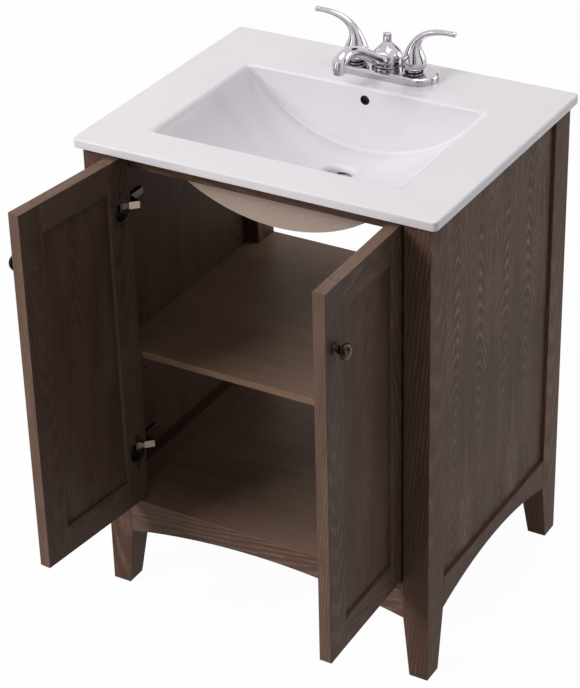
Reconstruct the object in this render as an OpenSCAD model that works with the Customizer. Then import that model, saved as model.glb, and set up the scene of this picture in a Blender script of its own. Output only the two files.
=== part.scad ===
// Bathroom vanity unit: oak cabinet with two framed doors, ceramic basin top and centre-set tap.
// X runs along the front, Y towards the wall, Z up. Z = 0 is the floor.

/* [Overall] */
// Width of the ceramic top
top_w = 610; // [560:1:760]
// Depth of the ceramic top
top_d = 492; // [470:1:560]
// Height of the top's upper face above the floor
unit_h = 808; // [760:1:900]

/* [Ceramic top] */
// Thickness of the slab
top_t = 15; // [12:1:25]
// Radius of the slab's corners in plan
top_corner_r = 9; // [4:1:20]
// Width of the bowl's opening
bowl_w = 420; // [360:1:440]
// Front edge of the slab to the bowl's opening
bowl_front = 78; // [66:1:90]
// Back edge of the slab to the bowl's opening
bowl_back = 131; // [128:1:150]
// Depth of the bowl at its middle
bowl_deep = 108; // [90:1:125]
// How far the bowl's front wall leans back at the bottom
bowl_lean = 16; // [8:1:24]
// Thickness of the bowl's walls
bowl_wall = 10; // [8:1:14]
// Radius of the waste hole
drain_r = 22.5; // [20:0.5:24]
// Bowl's back wall to the middle of the waste hole
drain_back = 88; // [75:1:110]
// Radius of the overflow hole
overflow_r = 8; // [6:0.5:10]
// Upper face of the slab to the middle of the overflow hole
overflow_drop = 21; // [18:1:30]
// Inside width of the overflow channel
channel_w = 26; // [20:1:30]
// Inside depth of the overflow channel
channel_d = 11; // [9:1:14]

/* [Tap] */
// Distance between the two handle axes
tap_pitch = 102; // [100:1:104]
// Back edge of the slab to the tap's middle line
tap_back = 63; // [58:1:70]
// Radius of the holes in the slab
tap_hole_r = 16; // [15:0.5:18]
// Radius of the base plate's round ends
base_r = 32; // [28:1:34]
// Length of the base plate
base_l = 182; // [176:1:190]
// Height of the base plate
base_h = 12; // [10:1:14]
// Forward reach of the spout
spout_reach = 150; // [130:1:155]
// Height of the spout's crown above the slab
spout_h = 83; // [74:1:90]
// Radius of the handle at its foot
bell_r = 20.5; // [18:0.5:23]
// Height of the handle's bell
bell_h = 48; // [42:1:54]
// Reach of the lever from the handle's axis
lever_reach = 72; // [60:1:80]
// Rise of the lever above the bell
lever_rise = 22; // [16:1:26]
// Radius of the valve stem
stem_r = 6; // [5:0.5:7]
// Outer radius of the threaded inlet tube
shank_r = 10.4; // [9.5:0.1:10.5]
// Length of the inlet tube below the slab
shank_drop = 40; // [34:1:50]
// Radius of the lift rod
rod_r = 2.4; // [2:0.1:3]
// Travel of the lift rod
rod_travel = 22; // [15:1:30]

/* [Cabinet] */
// Slab's overhang at each side
over_side = 13; // [8:1:20]
// Slab's overhang at the front
over_front = 11; // [8:1:20]
// Slab's overhang at the back
over_back = 3; // [0:1:6]
// Width of a post, across the front
post_w = 43; // [40:1:48]
// Depth of a post, along the side
post_d = 53; // [50:1:58]
// Width of a foot at the floor
foot_w = 32; // [26:1:36]
// Depth of a foot at the floor
foot_d = 36; // [28:1:42]
// Height of the arched rails' ends above the floor
rail_end_z = 107; // [90:1:125]
// Rise of the arches
arch_rise = 27; // [15:1:32]
// Top of the front and rear bottom rails above the floor
rail_top_z = 172; // [160:1:190]
// Top of the side rails' outer cheek above the floor
side_rail_z = 163; // [150:1:166]
// Top of the side rails' inner cheek above the floor
side_cheek_z = 211; // [196:1:230]
// Thickness of the rear rails
rear_rail_t = 18; // [15:1:22]
// Thickness of the front top rail
top_rail_t = 14; // [12:1:16]
// Height of the front top rail
top_rail_h = 32; // [24:1:40]
// Height of the rear top rail
wall_rail_h = 80; // [60:1:100]
// Thickness of the side panels
panel_t = 15; // [12:1:18]
// How far the side panels lie behind the posts' outer faces
panel_recess = 6; // [4:1:8]
// Depth of the panel grooves
groove_d = 8; // [6:1:10]
// Length of a rail's tenon
tenon_l = 14; // [10:1:18]
// Thickness of a rail's tenon
tenon_t = 8; // [6:1:10]
// Thickness of the floor panel
floor_t = 15; // [12:1:18]
// Cabinet front to the front edges of shelf, floor and top rail
inner_setback = 26; // [26:1:34]
// Height of the shelf's upper face above the floor
shelf_z = 441; // [400:1:520]
// Thickness of the shelf
shelf_t = 12; // [10:1:18]
// Radius of the shelf pins
pin_r = 2.5; // [2:0.5:3.5]
// Front posts to the front rows of shelf pin holes
pin_front = 42; // [30:1:60]
// Rear posts to the rear rows of shelf pin holes
pin_rear = 31; // [25:1:60]
// Distance between the wall screws
wall_pitch = 406; // [300:1:420]
// Radius of the wall screw holes
wall_hole_r = 2.75; // [2.25:0.25:3.5]

/* [Doors] */
// Thickness of a door
leaf_t = 20; // [20:1:22]
// Width of the stiles
stile_w = 48; // [48:1:56]
// Width of the door's top and bottom rails
door_rail_w = 48; // [44:1:64]
// Thickness of the door panels
door_panel_t = 8; // [6:1:9]
// Depth of the grooves that hold the door panels
door_groove_d = 6.5; // [5:0.5:7]
// Gap at the hinge edge and between the doors
door_gap = 3; // [3:0.5:4]
// Gap above the doors
door_top_gap = 6; // [4:1:10]
// Gap below the doors
door_low_gap = 2.5; // [2:0.5:4]
// Radius of the stiles' eased outer edges
ease_r = 2; // [2:0.5:3]
// Opening angle of the left door at rest
open_left = 96; // [80:1:105]
// Opening angle of the right door at rest
open_right = 91; // [80:1:105]
// Top of the doors to the middle of the knobs
knob_drop = 95; // [60:1:180]
// Radius of the knobs
knob_r = 16; // [12:0.5:18]
// Projection of the knobs
knob_l = 28; // [22:1:32]

/* [Hinges] */
// Hinge edge of the door to the pin
pin_in = 10.2; // [10.2:0.1:11]
// Outer face of the door to the pin
pin_deep = 9; // [8.4:0.1:9]
// Radius of the hinge pin
hinge_pin_r = 1.25; // [1:0.05:1.4]
// Radius of the hinge cup
cup_r = 17.5; // [17:0.5:18]
// Depth of the hinge cup
cup_d = 14.6; // [14.6:0.1:15.2]
// Hinge edge of the door to the cup's middle
cup_in = 22.5; // [22:0.5:23]
// Distance between the cup's screws
cup_pitch = 45; // [42:1:48]
// Width of the hinge arm
arm_w = 12; // [10:0.5:13]
// Bottom of the doors to the middle of the lower hinges
hinge_rise = 96.5; // [80:0.5:120]
// Top of the doors to the middle of the upper hinges
hinge_drop = 87; // [75:0.5:110]

/* [Hidden] */
$fn = 48;

oak = "#57493f";
oak_inside = "#4a3d34";
ceramic = "#e2dadc";
nickel = "#b9b4ac";
chrome = "#c9cbd0";
bronze = "#3a2c24";

// Clearances
fit = 0.1;
run = 0.06;
seat = 0.3;

// Main planes of the top and the cabinet
slab_z = unit_h - top_t;
half_w = top_w / 2 - over_side;
front_y = -top_d / 2 + over_front;
back_y = top_d / 2 - over_back;
opening = half_w - post_w;
inner_x = half_w - panel_recess - panel_t;
front_post_y = front_y + post_d;
rear_post_y = back_y - post_d;
setback_y = front_y + inner_setback;
side_mid_y = (front_post_y + rear_post_y) / 2;
side_half = (rear_post_y - front_post_y) / 2;
leaf_inner = leaf_t - pin_deep;

// Doors: leaf width, height and the pivots
leaf_w = opening - door_gap * 1.5;
leaf_z0 = rail_top_z + door_low_gap;
leaf_z1 = slab_z - door_top_gap;
pivot_x = opening - door_gap - pin_in;
pivot_y = front_y + pin_deep;
cup_x = cup_in - pin_in;
knob_x = leaf_w - stile_w / 2 - pin_in;
groove_y = (leaf_t - door_panel_t) / 2 - pin_deep;
knob_z = leaf_z1 - knob_drop;
hinge_low_z = leaf_z0 + hinge_rise;
hinge_high_z = leaf_z1 - hinge_drop;
hinge_heights = [hinge_low_z, hinge_high_z];

// Hinge parts
cup_floor = 0.8;
cup_skin = 1.6;
flange_t = 1.5;
flange_r = 19.2;
wing_r = 6;
knuckle_r = 2.45;
arm_gauge = 2.4;
arm_angle = 45;
arm_slot = arm_w + 2;
slot_deep = leaf_inner + 1;
elbow_r = 29;
plate_t = 3;
plate_front = 17.5;
plate_l = 23;
plate_wing_l = 15;
plate_wing_w = 48;
arm_back = 64;
arm_rise = 8.5;
plate_screw_z = 17;
screw_r = 1.9;
screw_head_r = 3.6;
screw_head_t = 1.6;
screw_l = 15;
cup_screw_l = 11;

// Bowl
bowl_y0 = -top_d / 2 + bowl_front;
bowl_y1 = top_d / 2 - bowl_back;
bowl_r = (pow(bowl_w / 2, 2) + pow(bowl_deep, 2)) / (2 * bowl_deep);
bowl_axis_z = unit_h - bowl_deep + bowl_r;
bowl_floor_z = unit_h - bowl_deep;
drain_y = bowl_y1 - drain_back;
overflow_z = unit_h - overflow_drop;
boss_r = drain_r + bowl_wall;
boss_drop = 16;
channel_y = bowl_y1 + bowl_wall;
channel_skin = 6;
channel_low_z = bowl_floor_z - bowl_wall - channel_d / 2;

// Tap
tap_y = top_d / 2 - tap_back;
base_top_z = unit_h + base_h;
ring_h = 4;
ring_z = base_top_z + ring_h;
hub_r = 24;
hub_h = 38;
hub_back = 8;
spout_w = 11;
aerator_r = 9.5;
aerator_h = 6;
spout_end_z = spout_h * 0.74;
nut_h = 8;
nut_r = 21;
relief_l = 3;
relief_t = 1;
stem_low = 22;
stem_high = 24;
rod_drop = 48;
knob_rise = 16;

// Knob screw
knob_screw_r = 2;
knob_screw_head_r = 4.4;

// The origin stands under the middle of the unit with its doors as they rest
function leaf_reach(a) = (leaf_w - pin_in) * sin(a) - leaf_inner * cos(a);
front_reach_y = pivot_y - max(leaf_reach(open_left), leaf_reach(open_right));
origin_y = (front_reach_y + top_d / 2) / 2;

module placed() translate([0, -origin_y, 0]) children();

// Box between two corners given in any order
module span(a, b) {
    low = [for (i = [0:2]) min(a[i], b[i])];
    high = [for (i = [0:2]) max(a[i], b[i])];
    translate(low) cube(high - low);
}

module along_x(h) rotate([90, 0, 90]) linear_extrude(h, center = true) children();
module along_y(h) rotate([90, 0, 0]) linear_extrude(h, center = true) children();

// Posts and rails

module cross_tenons(y, z0, z1) {
    for (s = [-1, 1])
        span([s * (opening - 1), y - tenon_t / 2, z0], [s * (opening + tenon_l), y + tenon_t / 2, z1]);
}

module side_tenons(s, x, z0, z1) {
    span([s * (x - tenon_t / 2), front_post_y - tenon_l, z0], [s * (x + tenon_t / 2), front_post_y + 1, z1]);
    span([s * (x - tenon_t / 2), rear_post_y + tenon_l, z0], [s * (x + tenon_t / 2), rear_post_y - 1, z1]);
}

front_rail_mid = front_y + inner_setback / 2;
rear_rail_mid = back_y - rear_rail_t / 2;
top_rail_mid = setback_y + top_rail_t / 2;
side_tenon_x = (inner_x + half_w) / 2;
shoulder = 10;

module front_bottom_tenons() cross_tenons(front_rail_mid, rail_end_z + shoulder, rail_top_z - shoulder);
module front_top_tenons() cross_tenons(top_rail_mid, slab_z - top_rail_h + shoulder / 2, slab_z - shoulder);
module rear_bottom_tenons() cross_tenons(rear_rail_mid, rail_end_z + shoulder, rail_top_z - shoulder);
module rear_top_tenons() cross_tenons(rear_rail_mid, slab_z - wall_rail_h + shoulder, slab_z - shoulder);
module side_rail_tenons(s) side_tenons(s, side_tenon_x, rail_end_z + shoulder, side_rail_z - shoulder);

module joinery() {
    front_bottom_tenons();
    front_top_tenons();
    rear_bottom_tenons();
    rear_top_tenons();
    side_rail_tenons(-1);
    side_rail_tenons(1);
}

module panel_blank(s)
    span([s * inner_x, front_post_y - groove_d, side_rail_z],
         [s * (inner_x + panel_t), rear_post_y + groove_d, slab_z]);

module leg_outline(wide, narrow)
    polygon([[0, 0], [narrow, 0], [wide, rail_end_z], [wide, slab_z], [0, slab_z]]);

module post(sx, sy) {
    corner_y = sy < 0 ? front_y : back_y;
    color(oak) placed() difference() {
        translate([sx * half_w, corner_y, 0]) mirror([sx > 0 ? 1 : 0, 0, 0]) mirror([0, sy > 0 ? 1 : 0, 0])
            intersection() {
                translate([0, post_d / 2, 0]) along_y(post_d) leg_outline(post_w, foot_w);
                translate([post_w / 2, 0, 0]) along_x(post_w) leg_outline(post_d, foot_d);
            }
        joinery();
        panel_blank(sx);
        if (sy < 0) hinge_plate_holes(sx);
    }
}

module hinge_plate_holes(s) {
    for (z = hinge_heights, dz = [-1, 1])
        hinge_frame(s, z) translate([-opening_gap(), plate_screw_y, dz * plate_screw_z])
            rotate([0, -90, 0]) cylinder(r = screw_r + fit, h = screw_l - plate_t + fit);
}

module arch_cut(half_span) {
    r = (pow(half_span, 2) + pow(arch_rise, 2)) / (2 * arch_rise);
    translate([0, 0, rail_end_z + arch_rise - r]) rotate([90, 0, 0])
        cylinder(r = r, h = 4 * post_d, center = true, $fn = 360);
}

module front_bottom_rail() {
    color(oak) placed() {
        front_bottom_tenons();
        difference() {
            span([-opening, front_y, rail_end_z], [opening, setback_y, rail_top_z]);
            translate([0, front_y, 0]) arch_cut(opening);
        }
    }
}

module front_top_rail() {
    color(oak) placed() {
        front_top_tenons();
        span([-opening, setback_y, slab_z - top_rail_h], [opening, setback_y + top_rail_t, slab_z]);
    }
}

module rear_bottom_rail() {
    color(oak) placed() {
        rear_bottom_tenons();
        span([-opening, back_y - rear_rail_t, rail_end_z], [opening, back_y, rail_top_z]);
    }
}

module rear_top_rail() {
    color(oak) placed() {
        rear_top_tenons();
        difference() {
            span([-opening, back_y - rear_rail_t, slab_z - wall_rail_h], [opening, back_y, slab_z]);
            for (s = [-1, 1])
                translate([s * wall_pitch / 2, back_y, slab_z - wall_rail_h / 2]) rotate([90, 0, 0])
                    cylinder(r = wall_hole_r, h = 4 * rear_rail_t, center = true);
        }
    }
}

module side_rail(s) {
    color(oak) placed() {
        side_rail_tenons(s);
        difference() {
            union() {
                span([s * inner_x, front_post_y, rail_end_z], [s * half_w, rear_post_y, side_rail_z]);
                span([s * opening, front_post_y, rail_end_z], [s * inner_x, rear_post_y, side_cheek_z]);
            }
            translate([s * half_w, side_mid_y, 0]) rotate([0, 0, 90]) arch_cut(side_half);
            floor_blank();
        }
    }
}

// Panels, floor and shelf

module side_panel(s) {
    color(oak) placed() difference() {
        panel_blank(s);
        shelf_pin_holes(s);
    }
}

module floor_blank() {
    z0 = rail_top_z - floor_t;
    span([-opening, setback_y, z0], [opening, back_y - rear_rail_t, rail_top_z]);
    span([-opening - groove_d, front_post_y, z0], [opening + groove_d, rear_post_y, rail_top_z]);
}

module floor_panel() color(oak_inside) placed() floor_blank();

module shelf() {
    side_gap = 0.5;
    z0 = shelf_z - shelf_t;
    color(oak_inside) placed() {
        span([-opening + side_gap, setback_y, z0], [opening - side_gap, back_y - side_gap * 6, shelf_z]);
        span([-inner_x + side_gap, front_post_y + side_gap, z0], [inner_x - side_gap, rear_post_y - side_gap, shelf_z]);
    }
}

pin_rows = [front_post_y + pin_front, rear_post_y - pin_rear];
pin_pitch = 32;
pin_hole_d = 9;
pin_out = 8;
pin_z = shelf_z - shelf_t - pin_r;

module shelf_pin_holes(s) {
    for (y = pin_rows, i = [-2:2])
        translate([s * (inner_x - 1), y, pin_z + i * pin_pitch]) rotate([0, s * 90, 0])
            cylinder(r = pin_r, h = pin_hole_d + 1);
}

module shelf_pins() {
    color(nickel) placed() for (s = [-1, 1], y = pin_rows) {
        translate([s * (inner_x - pin_out), y, pin_z]) rotate([0, s * 90, 0]) cylinder(r = pin_r, h = pin_out + pin_hole_d);
    }
}

// Doors: drawn closed, in a frame whose Z axis is the pin, then turned to the angle at rest

module door_frame(s) {
    placed() translate([s * pivot_x, pivot_y, 0]) mirror([s > 0 ? 1 : 0, 0, 0])
        rotate([0, 0, -(s < 0 ? open_left : open_right)]) children();
}

module stile_outline(w) {
    translate([ease_r, 0]) square([w - ease_r, leaf_t]);
    translate([0, ease_r]) square([w, leaf_t - ease_r]);
    translate([ease_r, ease_r]) circle(ease_r);
}

module groove(x0, x1) span([x0, groove_y, leaf_z0 - 1], [x1, groove_y + door_panel_t, leaf_z1 + 1]);

module hinge_stile(s) {
    edge = stile_w - pin_in;
    color(oak) door_frame(s) difference() {
        translate([-pin_in, -pin_deep, leaf_z0]) linear_extrude(leaf_z1 - leaf_z0) stile_outline(stile_w);
        groove(edge - door_groove_d, edge + 1);
        for (z = hinge_heights) {
            translate([cup_x, leaf_inner + 1, z]) rotate([90, 0, 0]) cylinder(r = cup_r, h = cup_d + 1);
            arm_notch(z);
            cup_screw_spots(z) cylinder(r = screw_r + fit, h = cup_screw_l + fit);
        }
    }
}

module free_stile(s) {
    edge = leaf_w - pin_in;
    color(oak) door_frame(s) difference() {
        translate([edge, -pin_deep, leaf_z0]) mirror([1, 0, 0])
            linear_extrude(leaf_z1 - leaf_z0) stile_outline(stile_w);
        groove(edge - stile_w - 1, edge - stile_w + door_groove_d);
        translate([knob_x, leaf_inner + 1, knob_z]) rotate([90, 0, 0])
            cylinder(r = knob_screw_r + fit, h = leaf_t + 2);
    }
}

module door_rail(s, z0, z1, groove_z0, groove_z1) {
    x0 = stile_w - pin_in;
    x1 = leaf_w - pin_in - stile_w;
    color(oak) door_frame(s) difference() {
        union() {
            span([x0, -pin_deep, z0], [x1, leaf_inner, z1]);
            span([x0 - door_groove_d, groove_y, z0], [x1 + door_groove_d, groove_y + door_panel_t, z1]);
        }
        span([x0 - door_groove_d - 1, groove_y, groove_z0], [x1 + door_groove_d + 1, groove_y + door_panel_t, groove_z1]);
    }
}

module door_top_rail(s)
    door_rail(s, leaf_z1 - door_rail_w, leaf_z1, leaf_z1 - door_rail_w - 1, leaf_z1 - door_rail_w + door_groove_d);

module door_bottom_rail(s)
    door_rail(s, leaf_z0, leaf_z0 + door_rail_w, leaf_z0 + door_rail_w - door_groove_d, leaf_z0 + door_rail_w + 1);

module door_panel(s) {
    x0 = stile_w - pin_in - door_groove_d;
    x1 = leaf_w - pin_in - stile_w + door_groove_d;
    z0 = leaf_z0 + door_rail_w - door_groove_d;
    z1 = leaf_z1 - door_rail_w + door_groove_d;
    color(oak) door_frame(s) span([x0, groove_y, z0], [x1, groove_y + door_panel_t, z1]);
}

// Knobs

module knob(s) {
    color(bronze) door_frame(s) translate([knob_x, -pin_deep, knob_z]) rotate([90, 0, 0])
        difference() {
            rotate_extrude() knob_outline();
            translate([0, 0, -1]) cylinder(r = knob_screw_r, h = knob_l - 10 + 1);
        }
}

module knob_outline() {
    base_r = knob_r * 0.66;
    neck_r = knob_r * 0.36;
    crown = 8;
    crown_r = (knob_r * knob_r + crown * crown) / (2 * crown);
    polygon([
        [0, 0], [base_r, 0], [base_r, 2], [base_r * 0.8, 4], [neck_r, 6.5], [neck_r, knob_l - 15],
        [knob_r * 0.7, knob_l - 11.5], [knob_r, knob_l - crown],
        for (i = [1:7]) let (a = asin(knob_r / crown_r) * (8 - i) / 8)
            [crown_r * sin(a), knob_l - crown_r + crown_r * cos(a)],
        [0, knob_l]
    ]);
}

module knob_screw(s) {
    color(nickel) door_frame(s) translate([knob_x, leaf_inner, knob_z]) rotate([90, 0, 0]) {
        cylinder(r = knob_screw_r, h = leaf_t + knob_l - 12);
        translate([0, 0, -2]) cylinder(r = knob_screw_head_r, h = 2);
    }
}

// Hinges: the arm is drawn in the frame of the closed door's pin, with the post on its left

module hinge_frame(s, z) {
    translate([s * pivot_x, pivot_y, z]) mirror([s > 0 ? 1 : 0, 0, 0]) children();
}

function opening_gap() = door_gap + pin_in;
plate_screw_y = plate_front + plate_l / 2;

module arm_notch(z)
    span([-pin_in - 1, leaf_inner - slot_deep, z - arm_slot / 2], [cup_x, leaf_inner + flange_t + 1, z + arm_slot / 2]);

module cup_screw_spots(z)
    for (dz = [-1, 1])
        translate([cup_x, leaf_inner, z + dz * cup_pitch / 2]) rotate([90, 0, 0]) children();

module hinge_cup(s, z) {
    color(nickel) door_frame(s) difference() {
        union() {
            translate([cup_x, leaf_inner, z]) rotate([90, 0, 0]) cylinder(r = cup_r - fit, h = cup_d);
            translate([cup_x, leaf_inner + flange_t, z]) rotate([90, 0, 0]) cylinder(r = flange_r, h = flange_t);
            span([cup_x - wing_r, leaf_inner, z - cup_pitch / 2], [cup_x + wing_r, leaf_inner + flange_t, z + cup_pitch / 2]);
            cup_screw_spots(z) translate([0, 0, -flange_t]) cylinder(r = wing_r, h = flange_t);
        }
        translate([cup_x, leaf_inner + flange_t + 1, z]) rotate([90, 0, 0])
            cylinder(r = cup_r - cup_skin, h = cup_d - cup_floor + flange_t + 1);
        arm_notch(z);
        cup_screw_spots(z) translate([0, 0, -flange_t - 1]) cylinder(r = screw_r + fit, h = flange_t + 2);
        translate([0, 0, z]) cylinder(r = hinge_pin_r, h = 2 * hinge_pin_half(), center = true);
    }
}

// The pin spans the cup's cavity and ends inside its wall
function hinge_pin_half() = sqrt(pow(cup_r - cup_skin / 2, 2) - pow(cup_x, 2));

module hinge_pins(s)
    color(nickel) door_frame(s) for (z = hinge_heights)
        translate([0, 0, z]) cylinder(r = hinge_pin_r, h = 2 * hinge_pin_half(), center = true);

module cup_screws(s)
    color(nickel) door_frame(s) for (z = hinge_heights)
        cup_screw_spots(z) {
            cylinder(r = screw_r, h = cup_screw_l);
            translate([0, 0, -flange_t - screw_head_t]) cylinder(r = screw_head_r, h = screw_head_t);
            translate([0, 0, -flange_t]) cylinder(r = screw_r, h = flange_t);
        }

module strip(a, b)
    translate(a) rotate(atan2(b[1] - a[1], b[0] - a[0])) translate([0, -arm_gauge / 2]) square([norm(b - a), arm_gauge]);

module arm_outline() {
    elbow = elbow_r * [cos(arm_angle), sin(arm_angle)];
    wall = -opening_gap() + plate_t;
    neck_y = elbow[1] + arm_rise;
    strip([0, 0], elbow);
    translate(elbow) circle(arm_gauge / 2);
    strip(elbow, [wall + arm_rise - arm_gauge / 2, neck_y]);
    translate([wall, neck_y - arm_gauge]) square([arm_rise, arm_back - neck_y + arm_gauge]);
}

module hinge_arm(s, z) {
    color(nickel) placed() hinge_frame(s, z) difference() {
        union() {
            cylinder(r = knuckle_r, h = arm_w, center = true);
            linear_extrude(arm_w, center = true) arm_outline();
        }
        cylinder(r = hinge_pin_r + run, h = arm_w + 2, center = true);
        arm_screw_spot() translate([0, 0, -1]) cylinder(r = screw_r + fit, h = arm_rise + 2);
    }
}

module arm_screw_spot()
    translate([-opening_gap() + plate_t + arm_rise, plate_front + plate_l - 7, 0]) rotate([0, -90, 0]) children();

module hinge_plate(s, z) {
    x0 = -opening_gap();
    y0 = plate_front;
    color(nickel) placed() hinge_frame(s, z) difference() {
        union() {
            span([x0, y0, -arm_w / 2 - 2], [x0 + plate_t, y0 + plate_l, arm_w / 2 + 2]);
            span([x0, plate_screw_y - plate_wing_l / 2, -plate_wing_w / 2],
                 [x0 + plate_t, plate_screw_y + plate_wing_l / 2, plate_wing_w / 2]);
        }
        for (dz = [-1, 1])
            translate([x0 - 1, plate_screw_y, dz * plate_screw_z]) rotate([0, 90, 0])
                cylinder(r = screw_r + fit, h = plate_t + 2);
        arm_screw_spot() translate([0, 0, -1]) cylinder(r = screw_r, h = arm_rise + plate_t + 2);
    }
}

module plate_screws() {
    color(nickel) placed() for (s = [-1, 1], z = hinge_heights, dz = [-1, 1])
        hinge_frame(s, z) translate([-opening_gap() + plate_t, plate_screw_y, dz * plate_screw_z]) rotate([0, -90, 0]) {
            translate([0, 0, -screw_head_t]) cylinder(r = screw_head_r, h = screw_head_t);
            cylinder(r = screw_r, h = screw_l);
        }
}

module arm_screws() {
    color(nickel) placed() for (s = [-1, 1], z = hinge_heights)
        hinge_frame(s, z) arm_screw_spot() {
            translate([0, 0, -screw_head_t]) cylinder(r = screw_head_r, h = screw_head_t);
            cylinder(r = screw_r, h = arm_rise + plate_t);
        }
}

// Ceramic top

module slab_outline() {
    w = top_w / 2 - top_corner_r;
    d = top_d / 2 - top_corner_r;
    square([2 * w, top_d], center = true);
    square([top_w, 2 * d], center = true);
    for (x = [-w, w], y = [-d, d]) translate([x, y]) circle(top_corner_r);
}

// A scoop: a round floor along Y between a leaning front wall and an upright back wall
module scoop(grow, top_z) {
    floor_z = bowl_floor_z - grow;
    y0 = bowl_y0 - grow;
    y1 = bowl_y1 + grow;
    lean = bowl_lean * (top_z - floor_z) / bowl_deep;
    intersection() {
        translate([0, 0, bowl_axis_z]) rotate([90, 0, 0])
            cylinder(r = bowl_r + grow, h = 2 * top_d, center = true, $fn = 240);
        along_x(2 * bowl_w) polygon([[y0, top_z], [y1, top_z], [y1, floor_z - 1], [y0 + lean, floor_z - 1]]);
    }
}

module basin_top() {
    color(ceramic) placed() difference() {
        union() {
            translate([0, 0, slab_z]) linear_extrude(top_t) slab_outline();
            scoop(bowl_wall, unit_h - 1);
            translate([0, drain_y, bowl_floor_z - boss_drop]) cylinder(r = boss_r, h = boss_drop);
            span([-channel_w / 2 - channel_skin, channel_y - 1, channel_low_z - channel_skin],
                 [channel_w / 2 + channel_skin, channel_y + channel_d + channel_skin, slab_z + 1]);
            span([-channel_w / 2 - channel_skin, drain_y, channel_low_z - channel_skin],
                 [channel_w / 2 + channel_skin, channel_y + 1, bowl_floor_z]);
        }
        scoop(0, unit_h + 1);
        translate([0, drain_y, bowl_floor_z - boss_drop - 1]) cylinder(r = drain_r, h = boss_drop + bowl_deep);
        translate([0, bowl_y1 - 1, overflow_z]) rotate([-90, 0, 0]) cylinder(r = overflow_r, h = bowl_wall + channel_d / 2 + 1);
        span([-channel_w / 2, channel_y, channel_low_z],
             [channel_w / 2, channel_y + channel_d, overflow_z + overflow_r + 1]);
        span([-channel_w / 2, drain_y, channel_low_z],
             [channel_w / 2, channel_y + channel_d, channel_low_z + channel_d / 2]);
        for (x = [-tap_pitch / 2, 0, tap_pitch / 2])
            translate([x, tap_y, slab_z - 1]) cylinder(r = tap_hole_r, h = top_t + 2);
    }
}

// Tap

module tap_base() {
    color(chrome) placed() translate([0, tap_y, unit_h]) difference() {
        union() {
            translate([-base_l / 2 + base_r, -base_r, 0]) cube([base_l - 2 * base_r, 2 * base_r, base_h]);
            for (s = [-1, 1]) {
                translate([s * (base_l / 2 - base_r), 0, 0]) cylinder(r = base_r, h = base_h);
                translate([s * tap_pitch / 2, 0, 0]) cylinder(r = bell_r * 0.7, h = base_h + ring_h);
            }
        }
        for (x = [-tap_pitch / 2, tap_pitch / 2])
            translate([x, 0, -1]) cylinder(r = stem_r + run, h = base_h + ring_h + 2);
        translate([0, hub_back, -1]) cylinder(r = rod_r + run, h = base_h + 2);
    }
}

module tap_shanks() {
    color("goldenrod") placed() for (x = [-tap_pitch / 2, tap_pitch / 2])
        translate([x, tap_y, slab_z]) difference() {
            translate([0, 0, -shank_drop]) cylinder(r = shank_r, h = shank_drop + top_t);
            translate([0, 0, -shank_drop - 1]) cylinder(r = stem_r + 1, h = shank_drop + top_t + 2);
            translate([0, 0, -nut_h - relief_l]) rotate_extrude()
                translate([shank_r - relief_t, 0]) square([2 * relief_t, relief_l]);
        }
}

module shank_nuts() {
    color("goldenrod") placed() for (x = [-tap_pitch / 2, tap_pitch / 2])
        translate([x, tap_y, slab_z - nut_h]) difference() {
            cylinder(r = nut_r, h = nut_h, $fn = 6);
            translate([0, 0, -1]) cylinder(r = shank_r, h = nut_h + 2);
        }
}

// A bar with round ends between two points, oval in section
module bar(a, b, r1, r2, flat)
    hull() {
        translate(a) scale([1, 1, flat]) sphere(r1, $fn = 24);
        translate(b) scale([1, 1, flat]) sphere(r2, $fn = 24);
    }

spout_path = [
    [0, 0, spout_h * 0.27], [0, -spout_reach * 0.33, spout_h * 0.54], [0, -spout_reach * 0.62, spout_h * 0.78],
    [0, -spout_reach * 0.79, spout_h * 0.87], [0, -spout_reach * 0.92, spout_end_z + 0.9 * spout_w]
];
spout_radii = [1.3 * spout_w, 0.95 * spout_w, 0.9 * spout_w, 1.05 * spout_w, spout_w];

module spout() {
    color(chrome) placed() translate([0, tap_y, unit_h]) difference() {
        union() {
            translate([0, hub_back, base_h]) rotate_extrude() polygon([
                [0, 0], [hub_r, 0], [hub_r, hub_h * 0.3], [hub_r * 0.96, hub_h * 0.48], [hub_r * 0.81, hub_h * 0.65],
                [hub_r * 0.56, hub_h * 0.82], [hub_r * 0.32, hub_h * 0.95], [hub_r * 0.26, hub_h], [0, hub_h]
            ]);
            for (i = [0:len(spout_path) - 2])
                bar(spout_path[i], spout_path[i + 1], spout_radii[i], spout_radii[i + 1], 0.8);
            translate([0, -spout_reach, spout_end_z]) cylinder(r = aerator_r, h = 5);
            hull() {
                translate(spout_path[4]) scale([1, 1, 0.8]) sphere(spout_w, $fn = 24);
                translate([0, -spout_reach, spout_end_z + 3]) cylinder(r = aerator_r, h = 2, $fn = 32);
            }
        }
        span([-2 * hub_r, -2 * hub_r, -base_h], [2 * hub_r, 2 * hub_r, base_h]);
        translate([0, hub_back, -1]) cylinder(r = rod_r + run, h = base_h + hub_h + 2);
    }
}

module aerator() {
    color(nickel) placed() translate([0, tap_y - spout_reach, unit_h + spout_end_z - aerator_h]) difference() {
        cylinder(r = aerator_r - 0.8, h = aerator_h);
        translate([0, 0, -1]) cylinder(r = aerator_r - 3, h = aerator_h - 3);
    }
}

module bell_outline()
    polygon([
        [0, 0], [bell_r * 0.8, 0], [bell_r * 0.9, bell_h * 0.035], [bell_r, bell_h * 0.15],
        [bell_r, bell_h * 0.28], [bell_r * 0.92, bell_h * 0.44], [bell_r * 0.76, bell_h * 0.61],
        [bell_r * 0.58, bell_h * 0.78], [bell_r * 0.46, bell_h * 0.93], [bell_r * 0.3, bell_h], [0, bell_h]
    ]);

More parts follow.
